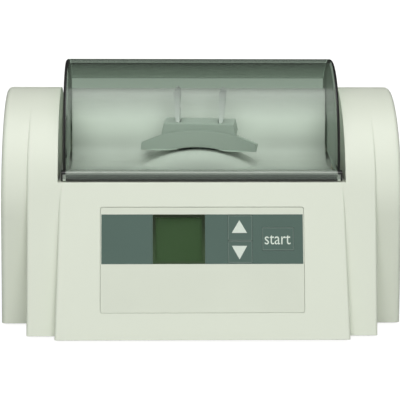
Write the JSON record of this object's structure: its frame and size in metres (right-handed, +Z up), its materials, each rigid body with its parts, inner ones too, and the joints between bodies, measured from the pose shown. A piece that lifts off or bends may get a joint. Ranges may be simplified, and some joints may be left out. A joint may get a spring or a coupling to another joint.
{
  "type": "amalgamator",
  "caption": "Bench capsule mixer: barrel-backed casing, smoke-clear hinged hood over a shaking capsule holder, sloped keypad with display and start key.",
  "frame": {"origin": "on the table, under the middle of the casing's plan", "axes": "+X to the user's right, +Y away from the user, +Z up"},
  "size_m": [0.25, 0.206, 0.158],
  "materials": {
    "housing_white": "fine moulded texture",
    "chamber_white": "satin",
    "base_grey": "textured",
    "smoke_clear": "polished smoke tint",
    "steel": "bright",
    "spring_steel": "bright",
    "frame_steel": "powder coat",
    "motor_steel": "zinc plated",
    "iron": "varnished",
    "copper": "turned",
    "brass": "turned",
    "cast_aluminium": "satin",
    "plate_white": "fine film texture",
    "strip_grey": "fine film texture",
    "window_clear": "clear film",
    "display_green": "unlit display",
    "saddle_grey": "satin",
    "board_green": "solder mask",
    "black_plastic": "satin",
    "nylon": "natural",
    "rubber_black": "matt",
    "panel_grey": "powder coat",
    "fuse_glass": "clear",
    "lead_brown": "satin",
    "lead_red": "satin",
    "ribbon_grey": "satin"
  },
  "bodies": {
    "casing": {"upper_housing": "housing_white", "base_plate": "base_grey", "mixing_chamber": "chamber_white", "hinge_pins": "steel", "keypad_plate": "plate_white", "graphic_strip": "strip_grey", "display_window": "window_clear", "display": "display_green", "control_board": "board_green", "board_screws": "steel", "push_switches": "black_plastic", "buzzer": "black_plastic", "motor_can": "motor_steel", "motor_front_bell": "motor_steel", "motor_rear_bell": "motor_steel", "motor_magnets": "iron", "motor_brushes": "iron", "motor_screws": "steel", "motor_subframe": "frame_steel", "shaft_bush": "brass", "guide_fork": "nylon", "isolators": "rubber_black", "rubber_feet": "rubber_black", "foot_screws": "steel", "case_screws": "steel", "power_board": "board_green", "transformer": "iron", "capacitors": "black_plastic", "heat_sink": "cast_aluminium", "rear_panel": "panel_grey", "rear_screws": "steel", "mains_inlet": "black_plastic", "inlet_pins": "brass", "switch_body": "black_plastic", "hood_switch": "black_plastic", "mains_leads": "lead_brown", "motor_leads": "lead_red", "ribbon_cable": "ribbon_grey"},
    "rotor": {"shaft": "steel", "skew_hub": "steel", "bearing_inner_race": "steel", "bearing_balls": "steel", "bearing_clip": "spring_steel", "balance_weights": "brass", "cooling_fan": "black_plastic", "armature": "iron", "commutator": "copper"},
    "mixing_arm": {"mixing_arm": "cast_aluminium", "bearing_outer_race": "steel", "dust_saddle": "saddle_grey"},
    "holder_left": {"holder_arm_left": "spring_steel"},
    "holder_right": {"holder_arm_right": "spring_steel"},
    "hood": {"hood": "smoke_clear"},
    "key_up": {"key_up": "strip_grey"},
    "key_down": {"key_down": "strip_grey"},
    "key_start": {"key_start": "strip_grey"},
    "rocker": {"power_rocker": "black_plastic"},
    "fuse_drawer": {"fuse_drawer": "black_plastic", "fuses": "fuse_glass"},
    "plunger": {"switch_plunger": "nylon"}
  },
  "joints": [
    {"name": "hood_hinge", "type": "hinge", "parent": "casing", "child": "hood", "pos_m": [0, 0.034, 0.108], "axis": [-1, 0, 0], "range_deg": [0, 95]},
    {"name": "key_up_press", "type": "slide", "parent": "casing", "child": "key_up", "axis": [0, 0.9252, -0.3795], "range_m": [0, 0.0005], "stiffness_N_per_m": 800, "springref_m": -0.0005},
    {"name": "key_down_press", "type": "slide", "parent": "casing", "child": "key_down", "axis": [0, 0.9252, -0.3795], "range_m": [0, 0.0005], "stiffness_N_per_m": 800, "springref_m": -0.0005},
    {"name": "key_start_press", "type": "slide", "parent": "casing", "child": "key_start", "axis": [0, 0.9252, -0.3795], "range_m": [0, 0.0005], "stiffness_N_per_m": 800, "springref_m": -0.0005},
    {"name": "power_rocker_tilt", "type": "hinge", "parent": "casing", "child": "rocker", "pos_m": [0.008, 0.081, 0.036], "axis": [-1, 0, 0], "range_deg": [0, 20]},
    {"name": "fuse_drawer_slide", "type": "slide", "parent": "casing", "child": "fuse_drawer", "axis": [0, 1, 0], "range_m": [0, 0.014]},
    {"name": "motor_spin", "type": "hinge", "parent": "casing", "child": "rotor", "pos_m": [0, -0.014, 0.04], "axis": [1, 0, 0], "continuous": true},
    {"name": "arm_wobble", "type": "hinge", "parent": "rotor", "child": "mixing_arm", "pos_m": [0, -0.014, 0.04], "axis": [0.9945, -0.1045, 0], "continuous": true},
    {"name": "holder_left_spring", "type": "hinge", "parent": "mixing_arm", "child": "holder_left", "pos_m": [-0.01313, -0.01262, 0.1153], "axis": [-0.1045, -0.9945, 0], "range_deg": [0, 5], "stiffness_Nm_per_rad": 1.5, "springref_deg": -2.86},
    {"name": "holder_right_spring", "type": "hinge", "parent": "mixing_arm", "child": "holder_right", "pos_m": [0.01313, -0.01538, 0.1153], "axis": [0.1045, 0.9945, 0], "range_deg": [0, 5], "stiffness_Nm_per_rad": 1.5, "springref_deg": -2.86},
    {"name": "plunger_rise", "type": "slide", "parent": "casing", "child": "plunger", "axis": [0, 0, 1], "range_m": [0, 0.002]}
  ],
  "couplings": [
    {"joint": "arm_wobble", "follows": "motor_spin", "ratio": -1},
    {"joint": "plunger_rise", "follows": "hood_hinge", "m_per_rad": 0.0012}
  ]
}
